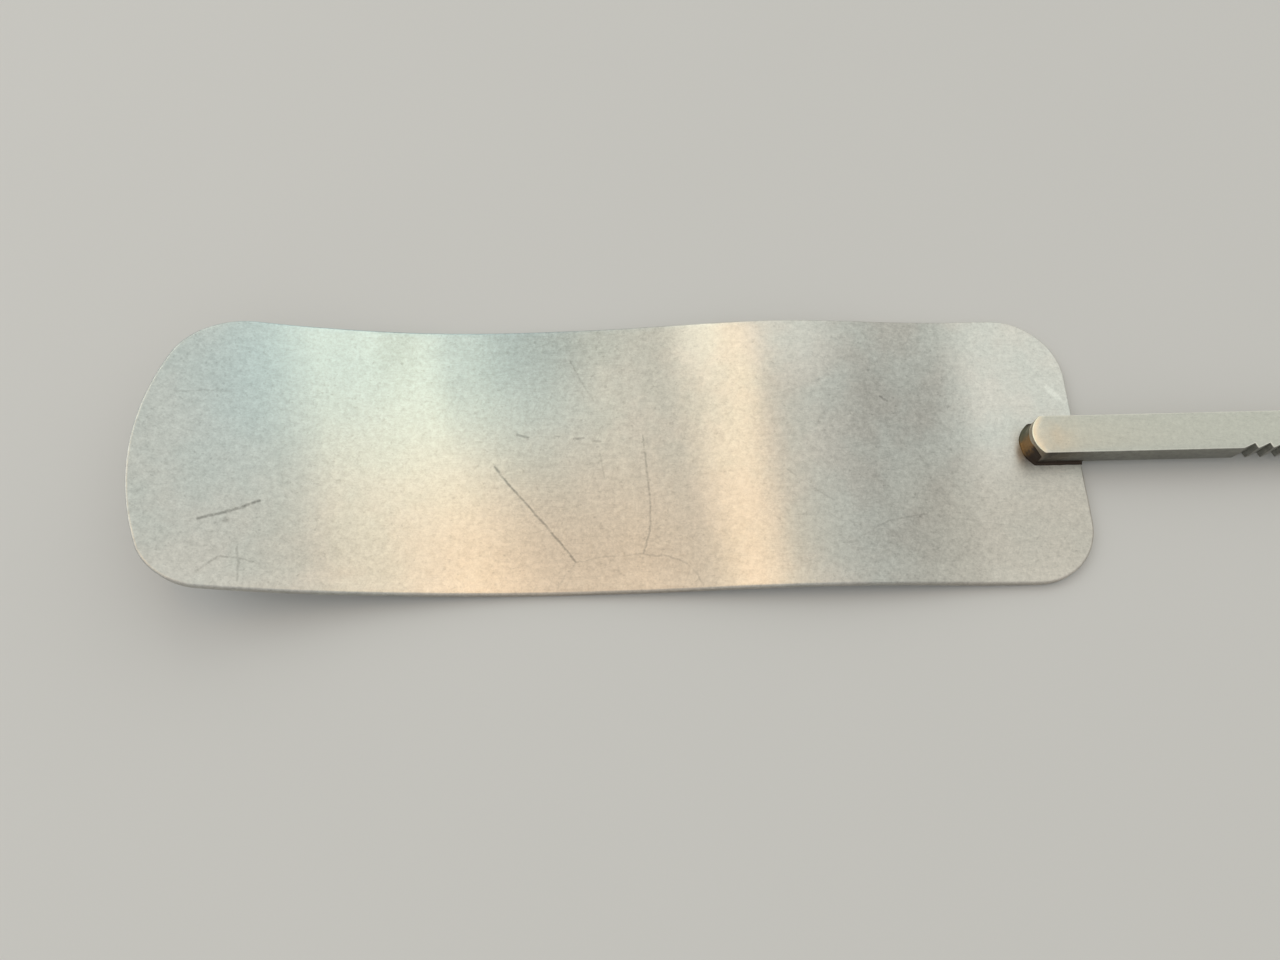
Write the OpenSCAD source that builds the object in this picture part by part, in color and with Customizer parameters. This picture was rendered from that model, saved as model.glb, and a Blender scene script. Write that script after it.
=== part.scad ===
// Malleable retractor blade: a hand-bent sheet-metal blade brazed to a flat ratchet stem.
// Millimetres. X runs along the blade and the stem, the blade's tip at -X and the stem's free end
// at +X. Y runs across, Z is up. The origin is under the centre of the whole part, on the surface
// that the blade rests on.

/* [Blade plate] */
// Length of the plate in plan, from its arched tip to its straight heel
plate_length = 150; // [130:1:170]
// Width of the plate
plate_width = 47; // [42:1:54]
// Thickness of the sheet
plate_thickness = 1.6; // [1.2:0.1:2.0]
// Radius of the wide arc across the tip
tip_arc_radius = 48; // [40:1:70]
// Radius of the corner beside the tip arc, on the side of the stem's plain edge
tip_corner_plain = 12; // [7:0.5:13]
// Radius of the corner beside the tip arc, on the side of the stem's toothed edge
tip_corner_toothed = 9; // [7:0.5:13]
// Radius of the heel's corner on the side of the stem's plain edge
heel_corner_plain = 11.5; // [7:0.5:13]
// Radius of the heel's corner on the side of the stem's toothed edge
heel_corner_toothed = 10; // [7:0.5:13]

/* [Bends] */
// Angle between the bend lines and a line square across the plate
bend_skew = 10; // [0:0.5:12]
// Slope at the tip, which the bends lift off the surface
tip_slope = 27; // [20:0.5:32]
// Slope where the sharp bend of the tip passes into the ramp
ramp_top_slope = 11.5; // [10:0.1:13]
// Slope at the foot of the ramp, where the hollow begins
ramp_foot_slope = 7; // [6:0.1:8]
// Slope at the end of the hollow, where the long climb begins
climb_foot_slope = 0.3; // [0.1:0.1:1]
// Slope at the top of the climb, where the hump begins
climb_top_slope = 6; // [5:0.1:6.5]
// Slope at the far end of the hump, where the plate comes down
drop_slope = 6.8; // [6:0.1:7.5]
// Distance from the tip at which the sharp bend ends
ramp_start = 27; // [22:1:30]
// Distance from the tip at which the hollow begins
hollow_start = 42; // [38:1:46]
// Distance from the tip at which the long climb begins
climb_start = 60; // [56:1:66]
// Distance from the tip at which the hump begins
hump_start = 83; // [78:1:88]
// Distance from the tip at which the hump ends
hump_end = 120; // [114:1:124]

/* [Ratchet stem] */
// Width of the flat bar
stem_width = 6.5; // [5.5:0.1:8]
// Thickness of the flat bar
stem_thickness = 4.1; // [3:0.1:5]
// Length of the bar, from its end on the plate to its free end
stem_length = 120; // [90:1:150]
// How far the bar lies on the plate
stem_overlap = 9; // [7:0.5:10]
// Radius of the arc at each end of the bar
stem_end_radius = 4.1; // [4.1:0.1:8]

/* [Ratchet teeth] */
// Distance from one notch to the next
tooth_pitch = 2.4; // [2.3:0.1:3.2]
// Depth of a notch
notch_depth = 0.8; // [0.5:0.05:1.2]
// Length of a notch's sloping side, which faces the free end
notch_ramp = 1.9; // [1.2:0.05:2.0]
// Length taken up by a notch's steep wall, which faces the plate
notch_wall = 0.3; // [0.1:0.05:0.4]
// Plain edge between the bar's end on the plate and the first notch
plain_start = 33.2; // [20:0.2:50]
// Least plain edge between the last notch and the free end
plain_end = 12; // [6:0.5:30]

/* [Braze joint] */
// Thickness of the braze metal between the bar and the plate
braze_film = 0.12; // [0.05:0.01:0.2]
// Leg of the braze fillet around the bar's foot
braze_fillet = 0.6; // [0.3:0.05:1]

/* [Hidden] */

steel_colour = [0.72, 0.73, 0.70];
stem_colour = [0.62, 0.62, 0.60];
braze_colour = [0.55, 0.42, 0.22];

overall_length = plate_length - stem_overlap + stem_length;
tip_x = -overall_length / 2;
heel_x = tip_x + plate_length;
stem_x = heel_x - stem_overlap;

// Where the flat landing under the bar begins, measured from the tip
landing_gap = 4;
landing_start = plate_length - stem_overlap - landing_gap;

// The bends: places along the plate and the slope of the plate at each
bend_places = [0, ramp_start, hollow_start, climb_start, hump_start, hump_end, landing_start];
bend_slopes = [
    -tip_slope,
    -ramp_top_slope,
    -ramp_foot_slope,
    climb_foot_slope,
    climb_top_slope,
    -drop_slope,
    0
];
last_bend = len(bend_places) - 1;

// Extra sheet past both ends and both sides, which the outline trims away
trim = 6;
strip_width = plate_width + 2 * plate_length * sin(bend_skew) + 2 * trim;
trim_height = 60;

stem_bottom = plate_thickness + braze_film;
notch_count = floor((stem_length - plain_start - plain_end) / tooth_pitch);

// Smoothness of the bends, of the outline and of the braze fillet
bend_steps = 12;
outline_steps = 180;
fillet_steps = 32;
overcut = 1;
thin = 0.01;

// Radius of bend i, above zero where the plate is hollow and below zero where it humps
function bend_radius(i) =
    (bend_places[i + 1] - bend_places[i]) / (sin(bend_slopes[i + 1]) - sin(bend_slopes[i]));

// Height of the middle of the sheet at bend place i, worked out from the flat landing back
function bend_height(i) =
    i == last_bend
        ? plate_thickness / 2
        : bend_height(i + 1) + bend_radius(i) * (cos(bend_slopes[i + 1]) - cos(bend_slopes[i]));

// Centre of bend i's arc, seen from the side
function bend_centre(i) = [
    bend_places[i + 1] - bend_radius(i) * sin(bend_slopes[i + 1]),
    bend_height(i + 1) + bend_radius(i) * cos(bend_slopes[i + 1])
];

// Point of bend i where the sheet has this slope, lifted off the middle of the sheet
function bend_point(i, slope, lift) =
    bend_centre(i) + (bend_radius(i) - lift) * [sin(slope), -cos(slope)];

// One face of the sheet from the side: past the tip, along the bends and past the heel
function face_line(lift) = concat(
    [bend_point(0, -tip_slope, lift) + trim * [-cos(tip_slope), sin(tip_slope)]],
    [for (i = [0 : last_bend - 1])
        for (step = [0 : bend_steps - 1])
            let (turn = (bend_slopes[i + 1] - bend_slopes[i]) * step / bend_steps)
                bend_point(i, bend_slopes[i] + turn, lift)],
    [
        [landing_start, plate_thickness / 2 + lift],
        [plate_length + trim, plate_thickness / 2 + lift]
    ]
);

function reversed(line) = [for (i = [len(line) - 1 : -1 : 0]) line[i]];

// The sheet with its bends, before its outline is cut
module bent_sheet() {
    rotate([90, 0, 0])
        linear_extrude(strip_width, center = true)
            polygon(concat(face_line(plate_thickness / 2), reversed(face_line(-plate_thickness / 2))));
}

// Half of the plate's outline in plan, from the middle line to +Y, with the tip at x = 0
module outline_half(tip_corner, heel_corner) {
    corner_side = plate_width / 2 - tip_corner;
    corner_reach = sqrt(pow(tip_arc_radius - tip_corner, 2) - pow(corner_side, 2));
    corner_x = tip_arc_radius - corner_reach;
    heel_side = plate_width / 2 - heel_corner;
    intersection() {
        translate([tip_arc_radius, 0])
            circle(tip_arc_radius, $fn = outline_steps);
        polygon([
            [tip_arc_radius, 0],
            [tip_arc_radius - 2 * corner_reach, 2 * corner_side],
            [-tip_arc_radius, 0]
        ]);
    }
    translate([corner_x, corner_side])
        circle(tip_corner, $fn = outline_steps);
    translate([corner_x, 0])
        square([plate_length - heel_corner - corner_x, plate_width / 2]);
    translate([plate_length - heel_corner, heel_side])
        circle(heel_corner, $fn = outline_steps);
    translate([plate_length / 2, 0])
        square([plate_length / 2, heel_side]);
}

// The plate's outline in plan. Its corners are finished by hand, so they differ a little
module plate_outline() {
    outline_half(tip_corner_plain, heel_corner_plain);
    mirror([0, 1, 0])
        outline_half(tip_corner_toothed, heel_corner_toothed);
}

// The bar's outline in plan, with its end on the plate at x = 0
module stem_outline() {
    intersection() {
        translate([0, -stem_width / 2])
            square([stem_length, stem_width]);
        union() {
            translate([stem_end_radius, 0])
                circle(stem_end_radius, $fn = outline_steps);
            translate([stem_end_radius, -stem_width])
                square([stem_length - 2 * stem_end_radius, 2 * stem_width]);
            translate([stem_length - stem_end_radius, 0])
                circle(stem_end_radius, $fn = outline_steps);
        }
    }
}

// One saw-tooth notch in the bar's -Y edge
module notch() {
    slope = notch_depth / notch_ramp;
    polygon([
        [-overcut / slope, -overcut],
        [notch_ramp, notch_depth],
        [notch_ramp + notch_wall, 0],
        [notch_ramp + notch_wall, -overcut]
    ]);
}

module blade_plate() {
    color(steel_colour)
        translate([tip_x, 0, 0])
            intersection() {
                rotate([0, 0, bend_skew])
                    bent_sheet();
                translate([0, 0, -trim_height / 2])
                    linear_extrude(trim_height)
                        plate_outline();
            }
}

module ratchet_stem() {
    color(stem_colour)
        translate([stem_x, 0, stem_bottom])
            linear_extrude(stem_thickness)
                difference() {
                    stem_outline();
                    for (i = [0 : notch_count - 1])
                        translate([plain_start + i * tooth_pitch, -stem_width / 2])
                            notch();
                }
}

// Braze metal: a film under the bar and a fillet around its foot, cut off at the plate's heel
module braze_joint() {
    color(braze_colour)
        translate([stem_x, 0, plate_thickness])
            difference() {
                intersection() {
                    hull() {
                        linear_extrude(thin)
                            offset(r = braze_fillet, $fn = fillet_steps)
                                stem_outline();
                        translate([0, 0, braze_film + braze_fillet - thin])
                            linear_extrude(thin)
                                stem_outline();
                    }
                    translate([-stem_width, -stem_width, 0])
                        cube([stem_width + stem_overlap, 2 * stem_width, stem_thickness]);
                }
                translate([0, 0, braze_film])
                    linear_extrude(stem_thickness)
                        stem_outline();
            }
}

blade_plate();
ratchet_stem();
braze_joint();
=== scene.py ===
"""A malleable retractor blade: satin steel sheet bent by hand, brazed to a flat ratchet stem.

Metres, except where a comment says millimetres, in the CAD's own frame: X runs from the blade's tip
to the stem's free end, Y runs across, and Z is up from the surface that the blade rests on. The +Y
side is called the plain side and the -Y side the toothed side, after the stem's edges.
"""
import math

import bmesh
import bpy
from mathutils import Matrix, Vector, noise


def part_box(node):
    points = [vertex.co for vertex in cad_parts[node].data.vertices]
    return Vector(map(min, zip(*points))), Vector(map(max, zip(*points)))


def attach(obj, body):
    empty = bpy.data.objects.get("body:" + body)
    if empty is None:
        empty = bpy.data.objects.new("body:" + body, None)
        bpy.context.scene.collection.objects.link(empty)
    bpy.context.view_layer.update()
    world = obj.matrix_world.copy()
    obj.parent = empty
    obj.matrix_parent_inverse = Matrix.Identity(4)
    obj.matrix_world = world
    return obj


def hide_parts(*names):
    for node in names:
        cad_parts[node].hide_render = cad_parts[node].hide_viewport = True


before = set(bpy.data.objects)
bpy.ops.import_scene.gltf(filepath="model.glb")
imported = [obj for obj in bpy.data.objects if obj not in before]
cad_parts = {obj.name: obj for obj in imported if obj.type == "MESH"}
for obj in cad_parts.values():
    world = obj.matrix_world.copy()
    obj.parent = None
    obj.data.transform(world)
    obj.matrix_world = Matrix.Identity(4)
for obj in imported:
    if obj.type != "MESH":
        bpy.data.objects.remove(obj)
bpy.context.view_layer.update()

MM = 0.001

# --- Sizes -----------------------------------------------------------------------------------
# The CAD's parts in model.glb give the boxes. What they can't give is named here, as the CAD has it.

BLADE_LOW, BLADE_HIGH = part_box("blade_plate")
STEM_LOW, STEM_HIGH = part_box("ratchet_stem")
BRAZE_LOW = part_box("braze_joint")[0]

TIP_X = BLADE_LOW.x
HEEL_X = BLADE_HIGH.x
BLADE_CENTRE = Vector(((TIP_X + HEEL_X) / 2, 0, 0))

# The sheet's thickness: the heel lies on z = 0, and the braze begins on top of it
SHEET = BRAZE_LOW.z

# The bends: distance from the tip in millimetres, and the sheet's slope there in degrees
BENDS = [(0, -27), (27, -11.5), (42, -7), (60, 0.3), (83, 6), (120, -6.8), (137, 0)]
BEND_SKEW = math.radians(10)

# What the hand bending left: the hump's crown is a little flat, and turns a little more on the
# plain side. The ramp above the hollow turns a little the other way there.
CROWN = 93 * MM
CROWN_FLAT = 0.13 * MM
CROWN_FLAT_REACH = 9 * MM
CROWN_TURN = math.radians(1.8)
CROWN_TURN_REACH = 14 * MM
CROWN_TURN_LEAST = 0.5
RAMP = 33 * MM
RAMP_TURN = math.radians(-0.9)
RAMP_TURN_REACH = 12 * MM

# Where the plain side's own share of the turns begins, and where it is full
PLAIN_SIDE = (-4 * MM, 16 * MM)

# Smaller unevenness: its size along and across, its height, and its seed
RIPPLES = [(26 * MM, 34 * MM, 0.02 * MM, 3.1), (11 * MM, 15 * MM, 0.006 * MM, 8.4)]

# All of it fades out where the sheet rests on the surface, by the height of the sheet's underside,
# and before the heel and at the tip, by the distance from each along X
CLEAR_OF_SURFACE = (0.05 * MM, 0.6 * MM)
CLEAR_OF_HEEL = (-20 * MM, -12 * MM)
CLEAR_OF_TIP = (0, 12 * MM)

# The outline: the arc across the tip, and the corner radii on the plain side and the toothed side.
# The two rooms keep it a hair inside the CAD's box, also where the bent edge leans out.
TIP_ROOM = 0.03 * MM
SIDE_ROOM = 0.05 * MM
HALF_WIDTH = BLADE_HIGH.y - SIDE_ROOM
TIP_ARC = 48 * MM
TIP_CORNERS = {1: 12 * MM, -1: 9 * MM}
HEEL_CORNERS = {1: 11.5 * MM, -1: 10 * MM}

# The sheet's worked edge. It stands upright across the tip, and leans with the sheet further back
EDGE_RADIUS = 0.4 * MM
EDGE_STEPS = 6
RIM_WIDTH = 1.8 * MM
UPRIGHT_END = 4 * MM
LEANING_START = 16 * MM

# The ratchet stem
STEM_HALF_WIDTH = STEM_HIGH.y
STEM_END_RADIUS = 4.1 * MM
STEM_END_ANGLE = math.degrees(math.asin(STEM_HALF_WIDTH / STEM_END_RADIUS))
STEM_BREAK = 0.18 * MM
BREAK_STEPS = 3
TOOTH_PITCH = 2.4 * MM
NOTCH_DEPTH = 0.8 * MM
NOTCH_RAMP = 1.9 * MM
NOTCH_WALL = 0.3 * MM
PLAIN_START = 33.2 * MM
NOTCHES = 31

# The braze fillet, in millimetres: its width and height along the bar's sides, how far both wander,
# and what the bar's end adds, where the braze is drawn up highest on the toothed side
FILLET_WIDTH = 0.5
FILLET_HEIGHT = 0.55
WANDER_WIDTH = 0.12
WANDER_HEIGHT = 0.15
END_WIDTH = 0.12
END_HEIGHT = 1.9
TOOTHED_END_HEIGHT = 0.9

# The size of that wandering, the way across over which the toothed side's height comes in, how
# squarely the foot has to face the tip to count as the end, and how deep the braze goes into the bar
WANDER_SIZE = 1.7 * MM
TOOTHED_END_REACH = 2.6 * MM
END_FACING = (0.15, 0.9)
BURIED = 0.25 * MM

# The fillet's section, from its toe up to its top, as shares of its width and its height
FILLET = [(1.0, 0.0), (0.62, 0.05), (0.36, 0.14), (0.2, 0.32), (0.12, 0.6), (0.09, 0.9), (0.0, 1.0)]

# How finely the meshes are cut
TIP_STEP = 0.8 * MM
CORNER_STEP = 0.4 * MM
CUT_ALONG = 1.0 * MM
CUT_ACROSS = 1.6 * MM
STEM_END_STEP = 0.35 * MM
FOOT_STEP = 0.25 * MM

# How near two points count as one, and two heights as level
SAME_PLACE = 1e-7
SAME_HEIGHT = 1e-6

# The stem's edges that turn by more than this are shaded sharp
SHARP_ANGLE = math.radians(40)

# What one tile of the brushing's map covers
MAP_SIZE = 50 * MM


# --- Small helpers ---------------------------------------------------------------------------

def smoothstep(low, high, value):
    """0 at low, 1 at high, and a smooth step between them."""
    share = min(max((value - low) / (high - low), 0), 1)
    return share * share * (3 - 2 * share)


def hill(away, reach):
    """1 at no distance, falling away smoothly over about this reach."""
    return math.exp(-(away / reach) ** 2)


def arc(centre, radius, start, end, step):
    """Points and outward normals along an arc, from one angle in degrees to another."""
    turn = math.radians(end - start)
    steps = max(2, round(abs(turn) * radius / step))
    found = []
    for i in range(steps + 1):
        angle = math.radians(start) + turn * i / steps
        normal = Vector((math.cos(angle), math.sin(angle)))
        found.append((Vector(centre) + radius * normal, normal))
    return found


def map_brushing(bm):
    """A map whose U runs across the brushing, which goes along X on both pieces of steel."""
    across_brushing = bm.loops.layers.uv.new("across_brushing")
    for face in bm.faces:
        for loop in face.loops:
            place = loop.vert.co
            loop[across_brushing].uv = (place.y / MAP_SIZE, -place.x / MAP_SIZE)


def smooth_mesh(name, bm):
    """The built mesh as mesh data, shaded smooth."""
    for face in bm.faces:
        face.smooth = True
    mesh_data = bpy.data.meshes.new(name)
    bm.to_mesh(mesh_data)
    bm.free()
    return mesh_data


def add_to_scene(name, data):
    """A new object in the scene."""
    made = bpy.data.objects.new(name, data)
    bpy.context.scene.collection.objects.link(made)
    return made


def piece(name, mesh_data, node, material):
    """A finished mesh as a piece with the given material, standing for a CAD node whose own part is
    hidden.
    """
    mesh_data.materials.append(material)
    body = add_to_scene(name, mesh_data)
    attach(body, "root")
    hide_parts(node)


# --- The blade -------------------------------------------------------------------------------

class BentSheet:
    """The middle of the sheet seen from the side: arcs that meet at the bends."""

    def __init__(self, bends, thickness):
        self.places = [place * MM for place, slope in bends]
        self.slopes = [math.radians(slope) for place, slope in bends]
        self.radii = []
        for i in range(len(bends) - 1):
            turn = math.sin(self.slopes[i + 1]) - math.sin(self.slopes[i])
            self.radii.append((self.places[i + 1] - self.places[i]) / turn)
        self.heights = [0.0] * len(bends)
        self.heights[-1] = thickness / 2
        for i in reversed(range(len(bends) - 1)):
            drop = math.cos(self.slopes[i + 1]) - math.cos(self.slopes[i])
            self.heights[i] = self.heights[i + 1] + self.radii[i] * drop

    def at(self, place):
        """Height of the middle of the sheet and its slope, this far from the tip."""
        if place <= 0:
            return self.heights[0] + place * math.tan(self.slopes[0]), self.slopes[0]
        if place >= self.places[-1]:
            return self.heights[-1], 0.0
        i = max(k for k, start in enumerate(self.places) if start <= place)
        radius = self.radii[i]
        slope = math.asin(math.sin(self.slopes[i]) + (place - self.places[i]) / radius)
        return self.heights[i] + radius * (math.cos(self.slopes[i]) - math.cos(slope)), slope


def half_outline(side):
    """Half of the blade's outline, from the tip to the heel along one side, with its normals."""
    tip_x = TIP_X + TIP_ROOM
    corner = TIP_CORNERS[side]
    corner_y = HALF_WIDTH - corner
    arc_x = tip_x + TIP_ARC
    corner_x = arc_x - math.sqrt((TIP_ARC - corner) ** 2 - corner_y ** 2)
    meeting = math.degrees(math.atan2(corner_y, corner_x - arc_x))
    heel = HEEL_CORNERS[side]
    points = arc((arc_x, 0), TIP_ARC, 180, meeting, TIP_STEP)[:-1]
    points += arc((corner_x, corner_y), corner, meeting, 90, CORNER_STEP)
    points += arc((HEEL_X - heel, HALF_WIDTH - heel), heel, 90, 0, CORNER_STEP)
    return [(Vector((p.x, side * p.y)), Vector((n.x, side * n.y))) for p, n in points]


def blade_outline():
    """The whole outline, counter-clockwise as seen from above."""
    toothed = half_outline(-1)
    plain = half_outline(1)
    return toothed + plain[:0:-1]


def edge_profile():
    """The sheet's edge in section, from its upper face to its lower one: reach out, and height."""
    half = SHEET / 2
    straight = half - EDGE_RADIUS
    profile = [(-RIM_WIDTH, half)]
    for side in (1, -1):
        angles = [90 - 90 * i / EDGE_STEPS for i in range(EDGE_STEPS + 1)]
        if side < 0:
            angles.reverse()
        for angle in (math.radians(a) for a in angles):
            reach = EDGE_RADIUS * (math.cos(angle) - 1)
            profile.append((reach, side * (straight + EDGE_RADIUS * math.sin(angle))))
    profile.append((-RIM_WIDTH, -half))
    return profile


def flat_blade():
    """The blade before it is bent, as a closed mesh cut into small faces."""
    outline = blade_outline()
    bm = bmesh.new()
    rim = bm.verts.layers.float.new("rim")
    rings = []
    for reach, height in edge_profile():
        ring = [bm.verts.new((*(point + reach * normal), height)) for point, normal in outline]
        for vert in ring:
            vert[rim] = 1 + reach / RIM_WIDTH
        rings.append(ring)
    count = len(outline)
    for upper, lower in zip(rings, rings[1:]):
        for i in range(count):
            after = (i + 1) % count
            bm.faces.new((upper[i], lower[i], lower[after], upper[after]))
    bm.faces.new(rings[0])
    bm.faces.new(rings[-1][::-1])
    cut_along(bm, Vector((math.cos(BEND_SKEW), math.sin(BEND_SKEW), 0)), CUT_ALONG)
    cut_along(bm, Vector((0, 1, 0)), CUT_ACROSS)
    return bm


def cut_along(bm, direction, spacing):
    """Cuts every face along planes that are square to a direction and evenly spaced."""
    reaches = [vert.co.dot(direction) for vert in bm.verts]
    start = min(reaches) + spacing / 2
    for i in range(int((max(reaches) - start) / spacing) + 1):
        everything = bm.verts[:] + bm.edges[:] + bm.faces[:]
        bmesh.ops.bisect_plane(bm, geom=everything, dist=SAME_PLACE,
                               plane_co=direction * (start + i * spacing), plane_no=direction)


def ripple(x, y, place):
    """The unevenness that bending by hand leaves in the sheet, as a height."""
    plain_side = smoothstep(*PLAIN_SIDE, y)
    away = place - CROWN
    flat = -CROWN_FLAT * hill(away, CROWN_FLAT_REACH)
    turn = CROWN_TURN * away * hill(away, CROWN_TURN_REACH)
    turn *= CROWN_TURN_LEAST + (1 - CROWN_TURN_LEAST) * plain_side
    away = place - RAMP
    turn += RAMP_TURN * away * hill(away, RAMP_TURN_REACH) * plain_side
    total = flat + turn
    for size_x, size_y, height, seed in RIPPLES:
        total += height * noise.noise(Vector((x / size_x, y / size_y, seed)))
    return total


def blade_mesh():
    """The finished blade: the flat one, bent across its length."""
    sheet = BentSheet(BENDS, SHEET)
    along = Vector((math.cos(BEND_SKEW), math.sin(BEND_SKEW)))
    bm = flat_blade()
    map_brushing(bm)
    for vert in bm.verts:
        x, y, lift = vert.co
        place = along.dot(Vector((x - TIP_X, y)))
        height, slope = sheet.at(place)
        clear = smoothstep(*CLEAR_OF_SURFACE, height - SHEET / 2)
        clear *= 1 - smoothstep(*CLEAR_OF_HEEL, x - HEEL_X)
        clear *= smoothstep(*CLEAR_OF_TIP, x - TIP_X)
        leaning = smoothstep(UPRIGHT_END, LEANING_START, x - TIP_X)
        shift = -lift * math.sin(slope) * leaning
        rise = lift * (leaning * math.cos(slope) + (1 - leaning) / math.cos(slope))
        vert.co = (x + shift * along.x, y + shift * along.y,
                   height + rise + ripple(x, y, place) * clear)
    return smooth_mesh("blade", bm)


# --- The stem --------------------------------------------------------------------------------

def stem_end(step):
    """The arc of the bar's end on the blade, from the plain side round to the toothed side."""
    centre = (STEM_LOW.x + STEM_END_RADIUS, 0)
    return arc(centre, STEM_END_RADIUS, 180 - STEM_END_ANGLE, 180 + STEM_END_ANGLE, step)


def stem_outline():
    """The bar in plan, counter-clockwise: two shallow arcs for ends, and notches along -Y."""
    points = [point for point, normal in stem_end(STEM_END_STEP)]
    for i in range(NOTCHES):
        notch = STEM_LOW.x + PLAIN_START + i * TOOTH_PITCH
        points.append(Vector((notch, -STEM_HALF_WIDTH)))
        points.append(Vector((notch + NOTCH_RAMP, -STEM_HALF_WIDTH + NOTCH_DEPTH)))
        points.append(Vector((notch + NOTCH_RAMP + NOTCH_WALL, -STEM_HALF_WIDTH)))
    free_centre = (STEM_HIGH.x - STEM_END_RADIUS, 0)
    free_end = arc(free_centre, STEM_END_RADIUS, -STEM_END_ANGLE, STEM_END_ANGLE, STEM_END_STEP)
    return points + [point for point, normal in free_end]


def stem_mesh():
    """The bar with its edges broken."""
    bm = bmesh.new()
    verts = [bm.verts.new((p.x, p.y, STEM_LOW.z)) for p in stem_outline()]
    underside = bm.faces.new(verts)
    raised = bmesh.ops.extrude_face_region(bm, geom=[underside])["geom"]
    lifted = [item for item in raised if isinstance(item, bmesh.types.BMVert)]
    bmesh.ops.translate(bm, verts=lifted, vec=(0, 0, STEM_HIGH.z - STEM_LOW.z))
    bmesh.ops.recalc_face_normals(bm, faces=bm.faces[:])
    rims = [edge for edge in bm.edges
            if abs(edge.verts[0].co.z - edge.verts[1].co.z) < SAME_HEIGHT]
    bmesh.ops.bevel(bm, geom=rims, offset=STEM_BREAK, segments=BREAK_STEPS, profile=0.5,
                    affect="EDGES", clamp_overlap=True)
    map_brushing(bm)
    mesh_data = smooth_mesh("stem", bm)
    mesh_data.set_sharp_from_angle(angle=SHARP_ANGLE)
    return mesh_data


# --- The braze -------------------------------------------------------------------------------

def foot_line():
    """The bar's foot on the blade, from the heel along +Y, round the end and back along -Y."""
    end = stem_end(FOOT_STEP)
    straight = end[0][0].x
    steps = round((HEEL_X - straight) / FOOT_STEP)
    sides = {}
    for side in (1, -1):
        sides[side] = []
        for i in range(steps + 1):
            x = HEEL_X + (straight - HEEL_X) * i / steps
            sides[side].append((Vector((x, side * STEM_HALF_WIDTH)), Vector((0, side))))
    return sides[1] + end + sides[-1][::-1]


def fillet_size(point, normal):
    """Width and height of the braze fillet at a point of the bar's foot, in metres."""
    wander = noise.noise(Vector((point.x, point.y, 0)) / WANDER_SIZE)
    at_end = smoothstep(*END_FACING, -normal.x)
    toothed = smoothstep(TOOTHED_END_REACH, -TOOTHED_END_REACH, point.y)
    width = FILLET_WIDTH + WANDER_WIDTH * wander + END_WIDTH * at_end
    drawn_up = at_end * (END_HEIGHT + TOOTHED_END_HEIGHT * toothed)
    height = FILLET_HEIGHT + WANDER_HEIGHT * wander + drawn_up
    return width * MM, height * MM


def braze_mesh():
    """The braze fillet: low along the bar's sides, and drawn up its end as a thin brassy skin."""
    bm = bmesh.new()
    sections = []
    for point, normal in foot_line():
        width, height = fillet_size(point, normal)
        inner = point - normal * BURIED
        corners = [(point + normal * (out * width), up * height) for out, up in FILLET]
        corners += [(inner, height), (inner, 0)]
        sections.append([bm.verts.new((p.x, p.y, SHEET + z)) for p, z in corners])
    count = len(sections[0])
    for one, other in zip(sections, sections[1:]):
        for i in range(count):
            after = (i + 1) % count
            bm.faces.new((one[i], one[after], other[after], other[i]))
    bm.faces.new(sections[0][::-1])
    bm.faces.new(sections[-1])
    bmesh.ops.recalc_face_normals(bm, faces=bm.faces[:])
    return smooth_mesh("braze", bm)


# --- Tools for node trees --------------------------------------------------------------------

# How level a face is, from 0 on a wall to 1 on a level face: where it begins to count as an upper
# face and where it does in full, and the same for the end of a wall, and for the beginning and the
# end of a broken edge
FACES_UP = (0.3, 0.6)
WALL_ENDS = (0.2, 0.85)
BROKEN_BEGINS = (0.35, 0.65)
BROKEN_ENDS = (0.97, 0.995)

# The values of the noise between which a scuff begins, and how far a share of 1 lowers them
SCUFF_EDGE = (0.72, 0.80)
SCUFF_SHARE = 0.1


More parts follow.
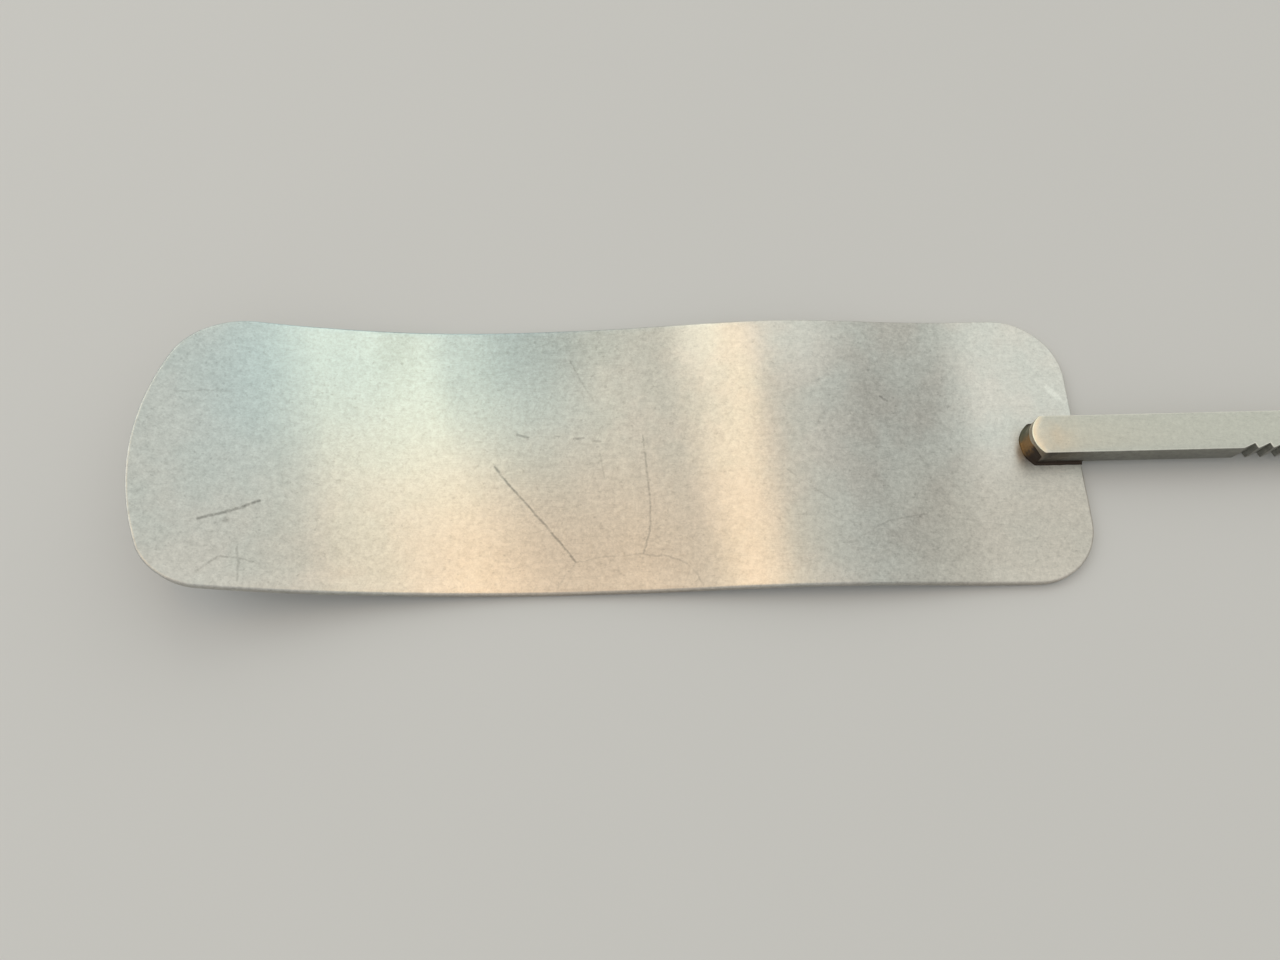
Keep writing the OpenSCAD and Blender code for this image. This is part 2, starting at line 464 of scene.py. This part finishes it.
class Nodes:
    """A node tree, built from the top: each method adds nodes and returns an output."""

    def __init__(self, tree):
        self.tree = tree

    def node(self, kind, **settings):
        """A new node with these settings."""
        made = self.tree.nodes.new(kind)
        for key, value in settings.items():
            setattr(made, key, value)
        return made

    def feed(self, socket, value):
        """Links an output to a socket, or sets the socket to a plain value."""
        if isinstance(value, bpy.types.NodeSocket):
            self.tree.links.new(value, socket)
        elif value is not None:
            socket.default_value = value

    def vector(self, operation, a, b=None, scale=None):
        """Vector arithmetic."""
        made = self.node("ShaderNodeVectorMath", operation=operation)
        self.feed(made.inputs[0], a)
        self.feed(made.inputs[1], b)
        if scale is not None:
            self.feed(made.inputs["Scale"], scale)
        return made.outputs["Value" if operation in ("LENGTH", "DOT_PRODUCT") else "Vector"]

    def math(self, operation, a, b=None, c=None):
        """Arithmetic with numbers."""
        made = self.node("ShaderNodeMath", operation=operation)
        for socket, value in zip(made.inputs, (a, b, c)):
            self.feed(socket, value)
        return made.outputs[0]

    def chain(self, operation, *values):
        """Several values put together by one operation, such as MULTIPLY or MAXIMUM."""
        total = values[0]
        for value in values[1:]:
            total = self.math(operation, total, value)
        return total

    def ramp(self, value, low, high, start=0.0, end=1.0):
        """A smooth step of value: start below low, and end above high."""
        made = self.node("ShaderNodeMapRange", interpolation_type="SMOOTHSTEP")
        for name, given in (("Value", value), ("From Min", low), ("From Max", high),
                            ("To Min", start), ("To Max", end)):
            self.feed(made.inputs[name], given)
        return made.outputs["Result"]

    def fall(self, value, low, high):
        """A smooth step down: 1 below low, and 0 above high."""
        return self.ramp(value, low, high, 1.0, 0.0)

    def mix(self, share, a, b):
        """From colour a at a share of 0 to colour b at a share of 1."""
        made = self.node("ShaderNodeMix", data_type="RGBA")
        self.feed(made.inputs["Factor"], share)
        self.feed(made.inputs["A"], a)
        self.feed(made.inputs["B"], b)
        return made.outputs["Result"]

    def layered(self, weights, layers):
        """The base of a table of weights, plus each other layer in it times its weight."""
        total = weights["base"]
        for name, weight in weights.items():
            if name != "base":
                total = self.math("MULTIPLY_ADD", layers[name], weight, total)
        return total


class Shade(Nodes):
    """The nodes of one material. Its places and sizes are in millimetres."""

    def __init__(self, name):
        self.material = bpy.data.materials.new(name)
        self.material.use_nodes = True
        super().__init__(self.material.node_tree)
        place = self.node("ShaderNodeTexCoord").outputs["Object"]
        self.place = self.vector("SCALE", place, scale=1 / MM)

    def part(self, axis):
        """One coordinate of the place."""
        split = self.node("ShaderNodeSeparateXYZ")
        self.feed(split.inputs[0], self.place)
        return split.outputs[axis]

    def mapped(self, location, turn, scale):
        """The place as measured from this location, turned about Z in degrees and scaled."""
        made = self.node("ShaderNodeMapping", vector_type="TEXTURE")
        self.feed(made.inputs["Vector"], self.place)
        self.feed(made.inputs["Location"], location)
        self.feed(made.inputs["Rotation"], (0, 0, math.radians(turn)))
        self.feed(made.inputs["Scale"], scale)
        return made.outputs["Vector"]

    def noise(self, size, detail=2.0, stretch=(1, 1, 1), turn=0.0, seed=0.0, fine=0.5):
        """Noise with blobs about this large. Each seed takes it from a place of its own."""
        made = self.node("ShaderNodeTexNoise")
        self.feed(made.inputs["Vector"], self.mapped((seed, seed / 3, seed / 7), turn, stretch))
        self.feed(made.inputs["Scale"], 1 / size)
        self.feed(made.inputs["Detail"], detail)
        self.feed(made.inputs["Roughness"], fine)
        return made.outputs["Fac"]

    def level(self):
        """How level the face is: 1 on a top, 0 on a wall and -1 on an underside."""
        split = self.node("ShaderNodeSeparateXYZ")
        geometry = self.node("ShaderNodeNewGeometry")
        self.feed(split.inputs[0], geometry.outputs["True Normal"])
        return split.outputs["Z"]

    def up(self):
        """How much the face looks up: 1 on top, 0 on a wall and below."""
        return self.ramp(self.level(), *FACES_UP)

    def wall(self):
        """How much the face stands up: 1 on an edge or a wall, 0 on a face that lies flat."""
        return self.fall(self.math("ABSOLUTE", self.level()), *WALL_ENDS)

    def broken_edge(self):
        """1 on the narrow slopes between a level face and an upright wall, and 0 on both."""
        level = self.math("ABSOLUTE", self.level())
        begun = self.ramp(level, *BROKEN_BEGINS)
        return self.chain("MULTIPLY", begun, self.fall(level, *BROKEN_ENDS))

    def hairlines(self, families, width):
        """Fine straight scuffs: 1 in a scuff. A family with a larger share has more of them."""
        fields = []
        for length, turn, share, seed in families:
            stretch = (length / width, 1, 1)
            field = self.noise(size=width, detail=0.0, stretch=stretch, turn=turn, seed=seed)
            fields.append(self.ramp(field, *(edge - SCUFF_SHARE * share for edge in SCUFF_EDGE)))
        return self.chain("MAXIMUM", *fields)

    def tint(self, colour, gain):
        """A colour made lighter or darker by a number around 1."""
        return self.vector("SCALE", colour, scale=gain)

    def bump(self, height, depth):
        """A normal from a height of 0 to 1, which stands for this depth in metres."""
        made = self.node("ShaderNodeBump")
        self.feed(made.inputs["Strength"], 1.0)
        self.feed(made.inputs["Distance"], depth)
        self.feed(made.inputs["Height"], height)
        return made.outputs["Normal"]

    def brushed(self):
        """The tangent that lies across the brushing, where the steel is roughest."""
        return self.node("ShaderNodeTangent", direction_type="UV_MAP",
                         uv_map="across_brushing").outputs["Tangent"]

    def finish(self, **sockets):
        """Sets the shader's sockets, each named with _ for a space, and returns the material."""
        shader = self.tree.nodes["Principled BSDF"]
        for name, value in sockets.items():
            self.feed(shader.inputs[name.replace("_", " ")], value)
        return self.material


# --- Scratches -------------------------------------------------------------------------------

# Scratches on the blade's upper face: width and depth (1 is the deepest), then the points that
# each runs through, in millimetres from the tip and from the middle line
SCRATCHES = [
    (0.30, 1.00, [(10.7, -12.8), (14.5, -11.2), (18.4, -9.0)]),
    (0.55, 0.70, [(14.2, -12.6), (14.5, -12.5)]),
    (0.22, 0.85, [(54.0, -1.8), (56.2, -4.8), (60.4, -9.6), (64.0, -14.0), (67.5, -18.5)]),
    (0.18, 0.35, [(67.5, -18.5), (72.0, -17.6), (78.1, -17.4)]),
    (0.18, 0.35, [(64.6, -22.6), (65.8, -20.4), (67.5, -18.5)]),
    (0.26, 0.75, [(57.4, 4.0), (59.2, 3.4)]),
    (0.22, 0.50, [(63.8, 3.6), (64.6, 3.5)]),
    (0.26, 0.75, [(67.0, 2.9), (68.6, 3.0)]),
    (0.22, 0.55, [(70.2, 2.4), (71.4, 2.3)]),
    (0.20, 0.60, [(78.4, 3.0), (79.0, -3.7), (79.4, -9.0), (79.2, -13.5), (78.1, -17.4)]),
    (0.18, 0.45, [(78.1, -17.4), (82.0, -17.9), (84.8, -19.2), (86.4, -20.8), (87.2, -22.8)]),
    (0.20, 0.50, [(11.7, -21.2), (14.0, -18.7), (16.4, -18.6), (18.8, -19.1)]),
    (0.20, 0.45, [(16.4, -17.0), (16.9, -19.4), (17.2, -22.3)]),
    (0.18, 0.35, [(4.5, 8.3), (8.0, 9.2), (11.9, 9.6)]),
    (0.18, 0.35, [(66.2, 17.6), (68.0, 13.8), (70.2, 9.8)]),
    (0.16, 0.35, [(71.3, 0.0), (71.7, -2.6), (72.0, -4.0)]),
    (0.24, 0.60, [(118.2, 8.9), (119.2, 8.0)]),
    (0.18, 0.35, [(101.5, -4.2), (104.8, -7.0), (108.6, -9.6)]),
    (0.18, 0.30, [(112.0, -16.0), (117.0, -13.2), (123.5, -12.0)]),
]

# Where a scratch's depth begins to fade and where it ends, from its middle, as shares of its width
SCRATCH_EDGE = (0.2, 1.3)

# The width in millimetres of the band that scratches wander in, and how often they turn in it
SCRATCH_WANDER = 0.5
SCRATCH_WANDER_SCALE = 0.7

# Scratches come and go along their way: the values of the noise between which they do, and the
# share of their depth that they keep
SCRATCH_BREAKS = (0.32, 0.52)
SCRATCH_LEAST = 0.35


def segment_group():
    """A node group that gives a point's distance from a line segment."""
    group = bpy.data.node_groups.new("segment_distance", "ShaderNodeTree")
    for name in ("Point", "Start", "Run", "Unit"):
        group.interface.new_socket(name, in_out="INPUT", socket_type="NodeSocketVector")
    group.interface.new_socket("Distance", in_out="OUTPUT", socket_type="NodeSocketFloat")
    nodes = Nodes(group)
    given = nodes.node("NodeGroupInput").outputs
    away = nodes.vector("SUBTRACT", given["Point"], given["Start"])
    limit = nodes.node("ShaderNodeClamp")
    nodes.feed(limit.inputs["Value"], nodes.vector("DOT_PRODUCT", away, given["Unit"]))
    reached = nodes.vector("SCALE", given["Run"], scale=limit.outputs["Result"])
    distance = nodes.vector("LENGTH", nodes.vector("SUBTRACT", away, reached))
    nodes.feed(nodes.node("NodeGroupOutput").inputs["Distance"], distance)
    return group


def scratch_lines(shade):
    """The scratches seen from above: each one's depth in its middle, and 0 between them."""
    group = segment_group()
    flat = shade.vector("MULTIPLY", shade.place, (1, 1, 0))
    shake = shade.node("ShaderNodeTexNoise")
    shade.feed(shake.inputs["Vector"], flat)
    shade.feed(shake.inputs["Scale"], SCRATCH_WANDER_SCALE)
    wander = shade.vector("SUBTRACT", shake.outputs["Color"], (0.5, 0.5, 0.5))
    wander = shade.vector("MULTIPLY", wander, (SCRATCH_WANDER, SCRATCH_WANDER, 0))
    flat = shade.vector("ADD", flat, wander)
    lines = []
    for width, depth, points in SCRATCHES:
        distances = []
        for (x0, y0), (x1, y1) in zip(points, points[1:]):
            run = Vector((x1 - x0, y1 - y0, 0))
            made = shade.node("ShaderNodeGroup", node_tree=group)
            shade.feed(made.inputs["Point"], flat)
            shade.feed(made.inputs["Start"], (x0 + TIP_X / MM, y0, 0))
            shade.feed(made.inputs["Run"], run)
            shade.feed(made.inputs["Unit"], run / run.length_squared)
            distances.append(made.outputs["Distance"])
        nearest = shade.chain("MINIMUM", *distances)
        lines.append(shade.ramp(nearest, *(width * edge for edge in SCRATCH_EDGE), depth, 0.0))
    return shade.chain("MAXIMUM", *lines)


def scratch_mask(shade):
    """1 in the deepest scratch and 0 on the clean sheet, all on its upper face."""
    breaks = shade.noise(size=1.1, detail=3.0, seed=21)
    broken = shade.ramp(breaks, *SCRATCH_BREAKS, start=SCRATCH_LEAST)
    return shade.chain("MULTIPLY", scratch_lines(shade), broken, shade.up())


# --- The blade's steel -----------------------------------------------------------------------

COOL_STEEL = (0.600, 0.606, 0.566, 1)
WARM_STEEL = (0.625, 0.606, 0.560, 1)
# A painted reflection: the mint of a cool light's reflection, painted into the steel's colour
MINT_REFLECTION = (0.540, 0.662, 0.680, 1)
# A painted reflection: the straw of a warm light's reflection, painted into the steel's colour
STRAW_REFLECTION = (0.635, 0.575, 0.500, 1)

# How deep the grain of both pieces of steel is
STEEL_RELIEF = 0.004 * MM

# The values of the clouds between which the steel's two colours change over, and between which the
# smudge, which is partly painted shade, thickens from its least; and the values of the noise between
# which a pit begins
HUE_CHANGE = (0.35, 0.65)
SMUDGE_CHANGE = (0.30, 0.62)
SMUDGE_LEAST = 0.55
PITS = (0.65, 0.75)

# The share of the rim's width at which the edge's polish begins, and where it is full
POLISH = (0.66, 1.0)

# The scuffs: length in millimetres, direction in degrees, share (1 gives the most), and seed
BLADE_SCUFFS = [(7, 14, 0.6, 40), (5, -38, 0.5, 53), (9, 66, 0.4, 66), (11, -4, 0.9, 79)]
BLADE_SCUFF_WIDTH = 0.16

# Patches of the finish, most of them painted light: reflection tints, shade and highlights, and a
# smudge that is partly painted shade. Each is a product of smooth steps: the way that a step runs,
# where it begins and ends in millimetres from the tip or from the middle line, and its value before
# and after
BLADE_PATCHES = {
    # Painted reflection tint, mint, on the plain side towards the tip
    "mint_reflection": [("along", 50, 86, 1, 0), ("across", -22, 18, 0, 1), ("along", 2, 18, 0.4, 1)],
    # Painted reflection tints, straw, in the middle and at the heel on the toothed side
    "straw_reflection_middle": [("along", 34, 66, 0, 1), ("across", -20, 8, 1, 0), ("along", 78, 106, 1, 0)],
    "straw_reflection_heel": [("along", 112, 130, 0, 0.6), ("across", -12, 2, 1, 0)],
    # Partly a cloudy smudge and partly painted shade, on the plain side before the heel
    "smudge_and_shade": [("along", 102, 118, 0, 1), ("along", 124, 136, 1, 0), ("across", 10, 22, 1, 0.6)],
    # A painted highlight: the heel made lighter
    "painted_heel_highlight": [("along", 128, 137, 0, 1), ("across", -14, 10, 0, 1)],
    # Painted shade on the plain side, by the ramp and the hollow
    "shaded_spot": [("along", 32, 35, 0, 1), ("along", 38, 42, 1, 0), ("across", 7, 21, 0, 1)],
    "shaded_middle": [("along", 46, 58, 0, 1), ("along", 66, 80, 1, 0), ("across", 7, 21, 0, 1)],
    # Painted highlights on the plain side, before and over the hump
    "highlight_spot": [("along", 81, 87, 0, 1), ("along", 88, 94, 1, 0), ("across", 7, 21, 0, 1)],
    "highlight_hump": [("along", 93, 99, 0, 1), ("along", 104, 118, 1, 0), ("across", 7, 21, 0, 1)],
    "toothed_edge": [("across", -23, -17, 1, 0)],
}

# The steel's brightness, roughness and relief: the base of each, and what each layer adds to it. The
# darkening of walls and edges is painted shade.
BLADE_GAIN = {"base": 0.64, "grain": 0.66, "cloud": 0.10, "pits": -0.12, "scuffs": -0.06,
              "smudge_and_shade": -0.24, "painted_heel_highlight": 0.22, "painted_shade": -0.14, "painted_highlight": 0.20, "toothed_edge": 0.06,
              "heel_patch": 0.20, "scratches": -0.36, "rim": 0.11, "wall": -0.34}
BLADE_ROUGHNESS = {"base": 0.265, "grain": 0.06, "cloud": 0.03, "smudge_and_shade": 0.05, "scratches": 0.15}
BLADE_RELIEF = {"base": 0.0, "grain": 1.0, "brushing": 0.12, "pits": -0.5, "scuffs": -0.3}

# The narrow lighter patch beside the heel's corner on the plain side: its middle, its direction in
# degrees, its half lengths in millimetres, and where it fades out as a share of them
HEEL_PATCH_PLACE = (TIP_X / MM + 147.5, 9.3, SHEET / MM)
HEEL_PATCH_TURN = -53
HEEL_PATCH_SIZE = (2.6, 0.7, 1.0)
HEEL_PATCH_EDGE = (0.4, 1.1)


def blade_patches(shade):
    """The patches of the blade's finish by name, most of them painted light."""
    ways = {"along": shade.math("SUBTRACT", shade.part("X"), TIP_X / MM), "across": shade.part("Y")}
    patches = {}
    for name, steps in BLADE_PATCHES.items():
        ramps = [shade.ramp(ways[way], *step) for way, *step in steps]
        patches[name] = shade.chain("MULTIPLY", *ramps)
    return patches


def blade_layers(shade):
    """All that varies over the blade by name, each from 0 to 1."""
    layers = blade_patches(shade)
    cloud = shade.noise(size=9.0, detail=4.0, seed=2)
    blotches = shade.ramp(cloud, *SMUDGE_CHANGE, start=SMUDGE_LEAST)
    heel_patch = shade.vector("LENGTH", shade.mapped(HEEL_PATCH_PLACE, HEEL_PATCH_TURN, HEEL_PATCH_SIZE))
    rim = shade.node("ShaderNodeAttribute", attribute_name="rim").outputs["Fac"]
    layers.update({
        "grain": shade.noise(size=0.95, detail=2.0, fine=0.95, seed=5),
        "brushing": shade.noise(size=0.16, detail=2.0, stretch=(26, 1, 1), seed=31),
        "cloud": cloud,
        "pits": shade.ramp(shade.noise(size=0.75, detail=1.0, seed=11), *PITS),
        "scuffs": shade.hairlines(BLADE_SCUFFS, BLADE_SCUFF_WIDTH),
        "scratches": scratch_mask(shade),
        # The smudge and painted shade before the heel, on upper faces only
        "smudge_and_shade": shade.chain("MULTIPLY", layers["smudge_and_shade"], blotches, shade.up()),
        # Painted straw reflection tint
        "straw_reflection": shade.chain("MAXIMUM", layers["straw_reflection_middle"], layers["straw_reflection_heel"]),
        # Painted shade on the plain side
        "painted_shade": shade.chain("MAXIMUM", layers["shaded_middle"], layers["shaded_spot"]),
        # Painted highlights on the plain side
        "painted_highlight": shade.chain("MAXIMUM", layers["highlight_spot"], layers["highlight_hump"]),
        "heel_patch": shade.fall(heel_patch, *HEEL_PATCH_EDGE),
        "rim": shade.ramp(rim, *POLISH),
        # Walls and edges, darkened as painted shade
        "wall": shade.wall(),
    })
    return layers


def blade_steel():
    """Annealed stainless sheet, brushed along its length, with pits, scuffs, scratches and a smudge,
    and with painted reflection tints, painted shade and painted highlights.
    """
    shade = Shade("blade_steel")
    layers = blade_layers(shade)
    hue = shade.mix(shade.ramp(layers["cloud"], *HUE_CHANGE), COOL_STEEL, WARM_STEEL)
    # Painted reflection tints: mint towards the tip on the plain side, and straw on the toothed side
    hue = shade.mix(layers["mint_reflection"], hue, MINT_REFLECTION)
    hue = shade.mix(layers["straw_reflection"], hue, STRAW_REFLECTION)
    gain = shade.layered(BLADE_GAIN, layers)
    rough = shade.layered(BLADE_ROUGHNESS, layers)
    relief = shade.layered(BLADE_RELIEF, layers)
    return shade.finish(Base_Color=shade.tint(hue, gain), Metallic=1.0, Roughness=rough,
                        Normal=shade.bump(relief, STEEL_RELIEF), Anisotropic=0.9,
                        Tangent=shade.brushed())


# --- The stem's steel ------------------------------------------------------------------------

BAR_STEEL = (0.585, 0.585, 0.525, 1)
# The temper colour near the braze, also the cream of the painted highlight on the bar's end
TEMPER_AND_HIGHLIGHT_STEEL = (0.660, 0.580, 0.460, 1)

# The scuffs as on the blade, the noise's values between which a pit begins, and the clouds' values
# between which the heated end takes its temper colour
STEM_SCUFFS = [(4, 24, 0.6, 61), (6, -9, 0.8, 77)]
STEM_SCUFF_WIDTH = 0.12
STEM_PITS = (0.68, 0.78)
TEMPER_CHANGE = (0.3, 0.7)

# In millimetres from the bar's end on the blade, where its lighter end fades out, and where the steel
# that brazing has heated, and the deeper painted shade on the bar's walls, fade out
LIGHT_END = (0.3, 3.5)
HEATED = (0.5, 9)

# The painted highlight along the arc of that end, a crescent, in millimetres: its inner edge,
# measured out from the arc, and where it fades out along the bar
CRESCENT_EDGE = (-1.3, -0.4)
CRESCENT_EXTENT = (1.2, 2.6)

# The steel's brightness, roughness and relief: the base of each, and what each layer adds to it. The
# darker walls, darker still near the braze, are painted shade, and the lighter broken edges are
# painted highlights.
STEM_GAIN = {"base": 0.72, "grain": 0.44, "brushing": 0.05, "cloud": 0.10, "pits": -0.10,
             "scuffs": -0.06, "light_end": 0.13, "painted_crescent": 0.22, "wall": -0.55,
             "broken_edge": 0.40, "wall_shade_near_braze": -0.30}
STEM_ROUGHNESS = {"base": 0.28, "grain": 0.08, "cloud": 0.06}
STEM_RELIEF = {"base": 0.0, "grain": 1.0, "brushing": 0.4, "pits": -0.5}


def painted_crescent(shade, along):
    """The painted highlight on the bar's end: 1 in a crescent beside the arc, and 0 further in."""
    centre = ((STEM_LOW.x + STEM_END_RADIUS) / MM, 0, 0)
    flat = shade.vector("MULTIPLY", shade.vector("SUBTRACT", shade.place, centre), (1, 1, 0))
    edge = [STEM_END_RADIUS / MM + reach for reach in CRESCENT_EDGE]
    beside_arc = shade.ramp(shade.vector("LENGTH", flat), *edge)
    return shade.chain("MULTIPLY", beside_arc, shade.fall(along, *CRESCENT_EXTENT))


def stem_layers(shade):
    """All that varies over the stem by name, each from 0 to 1."""
    along = shade.math("SUBTRACT", shade.part("X"), STEM_LOW.x / MM)
    cloud = shade.noise(size=4.5, detail=3.0, seed=14)
    near_braze = shade.fall(along, *HEATED)
    wall = shade.wall()
    crescent_highlight = painted_crescent(shade, along)
    tempered = shade.chain("MULTIPLY", near_braze, shade.ramp(cloud, *TEMPER_CHANGE))
    return {
        "grain": shade.noise(size=0.9, detail=2.0, fine=0.9, seed=3),
        "brushing": shade.noise(size=0.14, detail=2.0, stretch=(34, 1, 1), seed=9),
        "cloud": cloud,
        "pits": shade.ramp(shade.noise(size=0.5, detail=1.0, seed=25), *STEM_PITS),
        "scuffs": shade.hairlines(STEM_SCUFFS, STEM_SCUFF_WIDTH),
        "light_end": shade.fall(along, *LIGHT_END),
        "painted_crescent": crescent_highlight,
        # Painted shade on the walls, deeper near the braze
        "wall": wall,
        # Painted highlight on the broken edges
        "broken_edge": shade.broken_edge(),
        "wall_shade_near_braze": shade.chain("MULTIPLY", wall, near_braze),
        # Temper colour near the braze, and the cream of the painted highlight on the bar's end
        "golden": shade.chain("MAXIMUM", tempered, crescent_highlight),
    }


def stem_steel():
    """Harder stainless bar: a closer, greyer satin along its length, with painted shade on its walls
    and painted highlights on its broken edges and its end.
    """
    shade = Shade("stem_steel")
    layers = stem_layers(shade)
    hue = shade.mix(layers["golden"], BAR_STEEL, TEMPER_AND_HIGHLIGHT_STEEL)
    gain = shade.layered(STEM_GAIN, layers)
    rough = shade.layered(STEM_ROUGHNESS, layers)
    relief = shade.layered(STEM_RELIEF, layers)
    return shade.finish(Base_Color=shade.tint(hue, gain), Metallic=1.0, Roughness=rough,
                        Normal=shade.bump(relief, STEEL_RELIEF), Anisotropic=0.75,
                        Tangent=shade.brushed())


# --- The braze's metal -----------------------------------------------------------------------

GOLDEN_BRASS = (0.27, 0.155, 0.055, 1)
OLIVE_BRASS = (0.13, 0.13, 0.085, 1)
# Near black: on the toothed side this is painted shadow
DARK_BRASS = (0.050, 0.034, 0.024, 1)
BRASS_RELIEF = 0.03 * MM

# In millimetres: where the brass turns olive and where it turns dark across the bar, as painted
# shadow on the toothed side, how far both borders wander, and where it turns dark along the bar
OLIVE_SIDE = (-0.2, 1.6)
SHADED_SIDE = (-2.4, -0.8)
BRASS_WANDER = 3.0
DARK_ALONG = (0.4, 1.8)

# The brass's brightness and roughness, in the same way
BRASS_GAIN = {"base": 0.55, "grain": 0.9}
BRASS_ROUGHNESS = {"base": 0.34, "pool": 0.3}


def braze_metal():
    """Brass filler: golden in the middle of the bar's end, olive on the plain side, dark along the
    bar, and darkened on the toothed side as painted shadow."""
    shade = Shade("braze_metal")
    layers = {"pool": shade.noise(size=0.9, detail=4.0, seed=6),
              "grain": shade.noise(size=0.22, detail=3.0, seed=19)}
    along = shade.math("SUBTRACT", shade.part("X"), STEM_LOW.x / MM)
    wander = shade.math("SUBTRACT", layers["pool"], 0.5)
    across = shade.math("MULTIPLY_ADD", wander, BRASS_WANDER, shade.part("Y"))
    darkened = shade.chain("MAXIMUM", shade.fall(across, *SHADED_SIDE), shade.ramp(along, *DARK_ALONG))
    colour = shade.mix(shade.ramp(across, *OLIVE_SIDE), GOLDEN_BRASS, OLIVE_BRASS)
    colour = shade.tint(shade.mix(darkened, colour, DARK_BRASS), shade.layered(BRASS_GAIN, layers))
    rough = shade.layered(BRASS_ROUGHNESS, layers)
    return shade.finish(Base_Color=colour, Metallic=0.6, Roughness=rough,
                        Normal=shade.bump(layers["grain"], BRASS_RELIEF))


# --- Floor, light and camera -----------------------------------------------------------------

FLOOR_COLOUR = (0.70, 0.70, 0.69)
FLOOR_GAIN = {"base": 0.99, "mottle": 0.02}
ROOM_COLOUR = (0.45, 0.45, 0.445)

# Glows in the room: colour, then azimuth, elevation and spread in degrees
GLOWS = [((0.895, 0.915, 0.87), 24, 60, 72), ((0.98, 0.80, 0.62), -30, 84, 22)]

# The point that the camera looks at, near the blade's centre
AIM = BLADE_CENTRE + Vector((2.8, -5.2, 3.0)) * MM

# The width of the camera's sensor in millimetres, and the nearest and furthest that it sees
SENSOR_WIDTH = 36
CLIP = (10 * MM, 20)


def direction(azimuth, elevation):
    """A unit vector: azimuth 0 is +Y and 90 is +X, and elevation is above the floor, in degrees."""
    a, e = math.radians(azimuth), math.radians(elevation)
    return Vector((math.sin(a) * math.cos(e), math.cos(a) * math.cos(e), math.sin(e)))


def pale_floor(half_side, gap):
    """A plain pale floor, a hair below the blade."""
    mesh_data = bpy.data.meshes.new("floor")
    corners = [(-1, -1), (1, -1), (1, 1), (-1, 1)]
    verts = [(x * half_side, y * half_side, -gap) for x, y in corners]
    mesh_data.from_pydata(verts, [], [(0, 1, 2, 3)])
    shade = Shade("pale_floor")
    tone = shade.layered(FLOOR_GAIN, {"mottle": shade.noise(size=40.0, detail=3.0)})
    pale = shade.tint(FLOOR_COLOUR, tone)
    mesh_data.materials.append(shade.finish(Base_Color=pale, Roughness=0.8))
    add_to_scene("floor", mesh_data)


def soft_room(low, glows):
    """A pale room with broad soft glows in it."""
    world = bpy.data.worlds.new("soft_room")
    bpy.context.scene.world = world
    world.use_nodes = True
    nodes = Nodes(world.node_tree)
    place = nodes.node("ShaderNodeTexCoord").outputs["Generated"]
    total = (*low, 1)
    for glow, azimuth, elevation, spread in glows:
        facing = nodes.vector("DOT_PRODUCT", place, direction(azimuth, elevation))
        share = nodes.ramp(facing, math.cos(math.radians(spread)), 1.0)
        total = nodes.mix(share, total, (*glow, 1))
    nodes.feed(nodes.tree.nodes["Background"].inputs["Color"], total)


def panel(name, azimuth, elevation, distance, width, height, colour, brightness):
    """A soft rectangular lamp that faces the blade's centre. Brightness is its radiance."""
    data = bpy.data.lights.new(name, "AREA")
    data.shape = "RECTANGLE"
    data.size = width
    data.size_y = height
    data.color = colour
    data.energy = brightness * math.pi * width * height
    lamp = add_to_scene(name, data)
    away = direction(azimuth, elevation)
    lamp.location = BLADE_CENTRE + away * distance
    lamp.rotation_mode = "QUATERNION"
    lamp.rotation_quaternion = away.to_track_quat("Z", "Y")
    lamp.visible_camera = False


def camera(aim, azimuth, elevation, distance, roll, lens):
    """The viewing angle: azimuth and elevation of the line of sight, and the roll about it."""
    data = bpy.data.cameras.new("camera")
    data.lens = lens
    data.sensor_width = SENSOR_WIDTH
    data.clip_start, data.clip_end = CLIP
    made = add_to_scene("camera", data)
    back = -direction(azimuth, -elevation)
    level = back.to_track_quat("Z", "Y").to_matrix()
    turned = level @ Matrix.Rotation(math.radians(roll), 3, "Z")
    made.matrix_world = Matrix.LocRotScale(aim + back * distance, turned.to_quaternion(), None)
    bpy.context.scene.camera = made


# --- The scene -------------------------------------------------------------------------------

piece("blade", blade_mesh(), "blade_plate", blade_steel())
piece("stem", stem_mesh(), "ratchet_stem", stem_steel())
piece("braze", braze_mesh(), "braze_joint", braze_metal())

bpy.context.scene.view_settings.view_transform = "Standard"
pale_floor(half_side=3.0, gap=0.02 * MM)
soft_room(ROOM_COLOUR, GLOWS)
panel("key", azimuth=-70, elevation=42, distance=0.9, width=0.5, height=0.5,
      colour=(1.0, 0.99, 0.96), brightness=1.2)
panel("upper_strip", azimuth=-2.5, elevation=51, distance=6.0, width=0.44, height=1.80,
      colour=(0.90, 0.85, 0.66), brightness=2.55)
panel("lower_strip", azimuth=-2, elevation=76, distance=6.0, width=0.36, height=1.36,
      colour=(1.0, 0.62, 0.28), brightness=4.2)
camera(aim=AIM, azimuth=-0.79, elevation=68.67, distance=155.4 * MM, roll=-2.07, lens=27.03)
